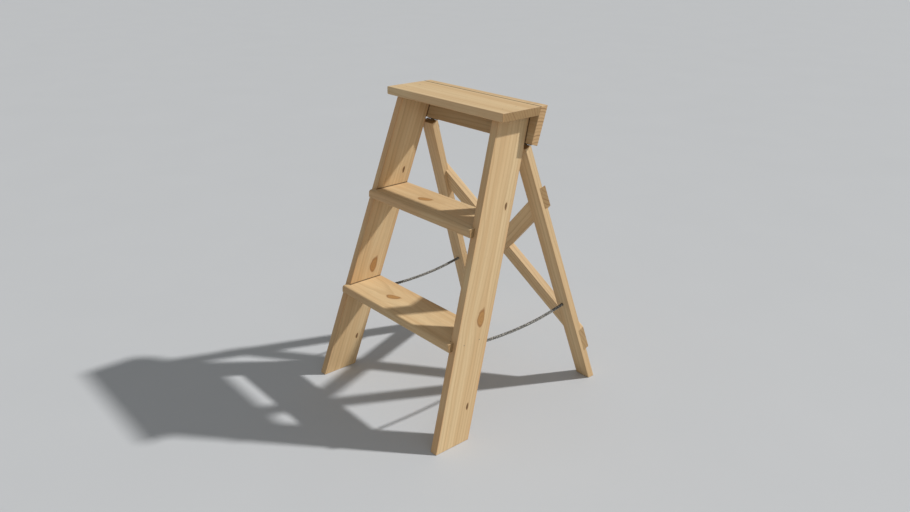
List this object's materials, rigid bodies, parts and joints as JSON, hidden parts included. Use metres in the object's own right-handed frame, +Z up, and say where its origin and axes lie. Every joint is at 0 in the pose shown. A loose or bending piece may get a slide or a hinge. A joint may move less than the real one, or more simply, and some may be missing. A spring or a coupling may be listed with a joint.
{
  "type": "step ladder",
  "caption": "Wooden step ladder: splayed front frame with rounded treads and a broad top step, folding rear frame on butt hinges, crossed braces and rope stays.",
  "frame": {"origin": "on the floor, at the middle of the open ladder's footprint", "axes": "+Z up, -Y towards the user who faces the steps, +X to that user's right"},
  "size_m": [0.4686, 0.5226, 0.714],
  "materials": {
    "pine_frame": "planed clear pine, unvarnished, straight grain along the board",
    "pine_step": "planed pine with a few knots, front edges rounded over",
    "pine_brace": "planed pine batten",
    "hinge_steel": "dark bronzed steel, dulled",
    "screw_steel": "zinc plated, slotted countersunk heads",
    "nail_steel": "dull bright steel finish nails, heads set flush",
    "grey_rope": "laid three-strand cord, dark grey with paler flecks"
  },
  "bodies": {
    "front_frame": {"stile_left": "pine_frame", "stile_right": "pine_frame", "lower_tread": "pine_step", "upper_tread": "pine_step", "top_step": "pine_step", "hinge_rail": "pine_frame", "tread_nails": "nail_steel", "top_nails": "nail_steel", "rail_nails": "nail_steel", "rail_screws": "screw_steel", "rail_leaf_left": "hinge_steel", "rail_leaf_right": "hinge_steel", "rail_leaf_screws": "screw_steel", "hinge_pin_left": "hinge_steel", "hinge_pin_right": "hinge_steel", "rope_clip_left": "hinge_steel", "rope_clip_right": "hinge_steel", "rope_clip_screws": "screw_steel", "stay_rope_left": "grey_rope", "stay_rope_right": "grey_rope", "front_knot_left": "grey_rope", "front_knot_right": "grey_rope"},
    "rear_frame": {"rear_leg_left": "pine_frame", "rear_leg_right": "pine_frame", "brace_left_high": "pine_brace", "brace_right_high": "pine_brace", "brace_screws": "screw_steel", "leg_leaf_left": "hinge_steel", "leg_leaf_right": "hinge_steel", "leg_leaf_screws": "screw_steel", "rear_knot_left": "grey_rope", "rear_knot_right": "grey_rope"}
  },
  "joints": [
    {"name": "rear_frame_fold", "type": "hinge", "parent": "front_frame", "child": "rear_frame", "pos_m": [0, 0.06046, 0.62936], "axis": [-1, 0, 0], "range_deg": [0, 36], "deforming": ["stay_rope_left", "stay_rope_right"]}
  ]
}
